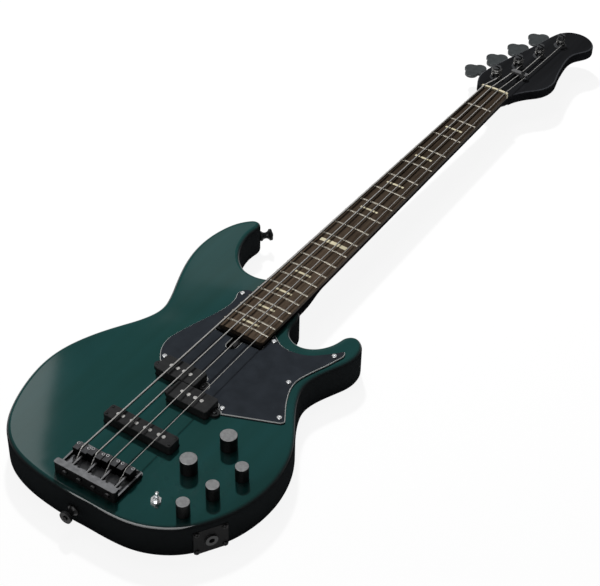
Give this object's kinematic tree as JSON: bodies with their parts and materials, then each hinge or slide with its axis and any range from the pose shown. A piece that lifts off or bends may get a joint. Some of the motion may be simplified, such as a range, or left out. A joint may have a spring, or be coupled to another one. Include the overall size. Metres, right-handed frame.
{
  "type": "electric bass guitar",
  "caption": "Solid-body electric bass guitar with a bolt-on neck, geared tuners, split and single pickups, a string-through bridge, turning controls and a hinged battery lid.",
  "frame": {"origin": "on the string centre line at the bridge end of the scale, on the flat back of the body", "axes": "+X to the treble side, +Y along the strings to the headstock, +Z out of the body's top"},
  "size_m": [0.3242, 1.1571, 0.0655],
  "materials": {
    "body_gloss": "translucent teal gloss lacquer",
    "neck_satin": "satin black",
    "board_wood": "oiled rosewood",
    "fret_metal": "polished",
    "cream": "cream, polished",
    "string_metal": "round wound",
    "steel": "plain",
    "guard_sheet": "dark layered sheet",
    "bright_chrome": "polished",
    "black_plastic": "matte black",
    "copper_wire": "wound copper",
    "foam": "foam",
    "circuit_card": "green card",
    "battery_case": "plain",
    "grey_metal": "plain",
    "black_metal": "black plated"
  },
  "bodies": {
    "instrument": {"body": "body_gloss", "neck": "neck_satin", "fretboard": "board_wood", "frets": "fret_metal", "position_markers": "cream", "nut": "cream", "strings": "string_metal", "truss_rod": "steel", "neck_bolts": "steel", "ferrules": "steel", "pole_pieces": "steel", "pickguard": "guard_sheet", "pickguard_screws": "bright_chrome", "toggle_switch": "bright_chrome", "pickup_screws": "bright_chrome", "split_pickup_covers": "black_plastic", "bridge_pickup_cover": "black_plastic", "control_cover": "black_plastic", "battery_tray": "black_plastic", "pickup_coils": "copper_wire", "pickup_foam": "foam", "preamp_board": "circuit_card", "battery": "battery_case", "potentiometers": "grey_metal", "bridge_plate": "black_metal", "bridge_screws": "black_metal", "string_retainer": "black_metal", "tuner_bushings": "black_metal", "tuner_plates": "black_metal", "jack_plate": "black_metal", "jack_socket": "black_metal", "strap_buttons": "black_metal", "black_screws": "black_metal"},
    "tuner_key_e": {"tuner_key_e": "black_metal"},
    "tuner_post_e": {"tuner_post_e": "black_metal", "string_winding_e": "string_metal"},
    "setting_screw_e": {"setting_screw_e": "black_metal"},
    "saddle_e": {"saddle_e": "black_metal"},
    "tuner_key_a": {"tuner_key_a": "black_metal"},
    "tuner_post_a": {"tuner_post_a": "black_metal", "string_winding_a": "string_metal"},
    "setting_screw_a": {"setting_screw_a": "black_metal"},
    "saddle_a": {"saddle_a": "black_metal"},
    "tuner_key_d": {"tuner_key_d": "black_metal"},
    "tuner_post_d": {"tuner_post_d": "black_metal", "string_winding_d": "string_metal"},
    "setting_screw_d": {"setting_screw_d": "black_metal"},
    "saddle_d": {"saddle_d": "black_metal"},
    "tuner_key_g": {"tuner_key_g": "black_metal"},
    "tuner_post_g": {"tuner_post_g": "black_metal", "string_winding_g": "string_metal"},
    "setting_screw_g": {"setting_screw_g": "black_metal"},
    "saddle_g": {"saddle_g": "black_metal"},
    "knob_volume": {"knob_volume": "black_metal"},
    "knob_blend": {"knob_blend": "black_metal"},
    "knob_treble": {"knob_treble": "black_metal"},
    "knob_middle": {"knob_middle": "black_metal"},
    "knob_bass": {"knob_bass": "black_metal"},
    "toggle_lever": {"toggle_lever": "bright_chrome"},
    "battery_lid": {"battery_lid": "black_plastic"}
  },
  "joints": [
    {"name": "key_turn_e", "type": "hinge", "parent": "instrument", "child": "tuner_key_e", "pos_m": [-0.01632, 0.92063, 0.0274], "axis": [-0.9636, 0.2674, 0], "range_deg": [-720, 720]},
    {"name": "post_turn_e", "type": "hinge", "parent": "instrument", "child": "tuner_post_e", "pos_m": [-0.0198, 0.9081, 0.0485], "axis": [0, 0, 1], "range_deg": [-36, 36]},
    {"name": "screw_turn_e", "type": "hinge", "parent": "instrument", "child": "setting_screw_e", "pos_m": [-0.0248, -0.032, 0.0537], "axis": [0, 1, 0], "range_deg": [-1800, 1800]},
    {"name": "saddle_slide_e", "type": "slide", "parent": "instrument", "child": "saddle_e", "axis": [0, 1, 0], "range_m": [-0.0025, 0.0025]},
    {"name": "key_turn_a", "type": "hinge", "parent": "instrument", "child": "tuner_key_a", "pos_m": [-0.00422, 0.96423, 0.0274], "axis": [-0.9636, 0.2674, 0], "range_deg": [-720, 720]},
    {"name": "post_turn_a", "type": "hinge", "parent": "instrument", "child": "tuner_post_a", "pos_m": [-0.0077, 0.9517, 0.0485], "axis": [0, 0, 1], "range_deg": [-36, 36]},
    {"name": "screw_turn_a", "type": "hinge", "parent": "instrument", "child": "setting_screw_a", "pos_m": [-0.0058, -0.032, 0.0537], "axis": [0, 1, 0], "range_deg": [-1800, 1800]},
    {"name": "saddle_slide_a", "type": "slide", "parent": "instrument", "child": "saddle_a", "axis": [0, 1, 0], "range_m": [-0.0025, 0.0025]},
    {"name": "key_turn_d", "type": "hinge", "parent": "instrument", "child": "tuner_key_d", "pos_m": [0.00788, 1.00783, 0.0274], "axis": [-0.9636, 0.2674, 0], "range_deg": [-720, 720]},
    {"name": "post_turn_d", "type": "hinge", "parent": "instrument", "child": "tuner_post_d", "pos_m": [0.0044, 0.9953, 0.0485], "axis": [0, 0, 1], "range_deg": [-36, 36]},
    {"name": "screw_turn_d", "type": "hinge", "parent": "instrument", "child": "setting_screw_d", "pos_m": [0.0132, -0.032, 0.0537], "axis": [0, 1, 0], "range_deg": [-1800, 1800]},
    {"name": "saddle_slide_d", "type": "slide", "parent": "instrument", "child": "saddle_d", "axis": [0, 1, 0], "range_m": [-0.0025, 0.0025]},
    {"name": "key_turn_g", "type": "hinge", "parent": "instrument", "child": "tuner_key_g", "pos_m": [0.01998, 1.05143, 0.0274], "axis": [-0.9636, 0.2674, 0], "range_deg": [-720, 720]},
    {"name": "post_turn_g", "type": "hinge", "parent": "instrument", "child": "tuner_post_g", "pos_m": [0.0165, 1.0389, 0.0485], "axis": [0, 0, 1], "range_deg": [-36, 36]},
    {"name": "screw_turn_g", "type": "hinge", "parent": "instrument", "child": "setting_screw_g", "pos_m": [0.0322, -0.032, 0.0537], "axis": [0, 1, 0], "range_deg": [-1800, 1800]},
    {"name": "saddle_slide_g", "type": "slide", "parent": "instrument", "child": "saddle_g", "axis": [0, 1, 0], "range_m": [-0.0025, 0.0025]},
    {"name": "knob_turn_volume", "type": "hinge", "parent": "instrument", "child": "knob_volume", "pos_m": [0.091, 0.0941, 0.0455], "axis": [0, 0, 1], "range_deg": [-150, 150]},
    {"name": "knob_turn_blend", "type": "hinge", "parent": "instrument", "child": "knob_blend", "pos_m": [0.07605, 0.04192, 0.0455], "axis": [0, 0, 1], "range_deg": [-150, 150]},
    {"name": "knob_turn_treble", "type": "hinge", "parent": "instrument", "child": "knob_treble", "pos_m": [0.12903, 0.06478, 0.0455], "axis": [0, 0, 1], "range_deg": [-150, 150]},
    {"name": "knob_turn_middle", "type": "hinge", "parent": "instrument", "child": "knob_middle", "pos_m": [0.11895, 0.02601, 0.0455], "axis": [0, 0, 1], "range_deg": [-150, 150]},
    {"name": "knob_turn_bass", "type": "hinge", "parent": "instrument", "child": "knob_bass", "pos_m": [0.1079, -0.01077, 0.0455], "axis": [0, 0, 1], "range_deg": [-150, 150]},
    {"name": "toggle_tip", "type": "hinge", "parent": "instrument", "child": "toggle_lever", "pos_m": [0.0741, -0.01276, 0.047], "axis": [1, 0, 0], "range_deg": [0, 24]},
    {"name": "battery_lid_swing", "type": "hinge", "parent": "instrument", "child": "battery_lid", "pos_m": [-0.00072, 0.09112, 0.0013], "axis": [0, 1, 0], "range_deg": [0, 100]}
  ],
  "couplings": [
    {"joint": "post_turn_e", "follows": "key_turn_e", "ratio": -0.05},
    {"joint": "screw_turn_e", "follows": "saddle_slide_e", "rad_per_m": -12566},
    {"joint": "post_turn_a", "follows": "key_turn_a", "ratio": -0.05},
    {"joint": "screw_turn_a", "follows": "saddle_slide_a", "rad_per_m": -12566},
    {"joint": "post_turn_d", "follows": "key_turn_d", "ratio": -0.05},
    {"joint": "screw_turn_d", "follows": "saddle_slide_d", "rad_per_m": -12566},
    {"joint": "post_turn_g", "follows": "key_turn_g", "ratio": -0.05},
    {"joint": "screw_turn_g", "follows": "saddle_slide_g", "rad_per_m": -12566}
  ]
}
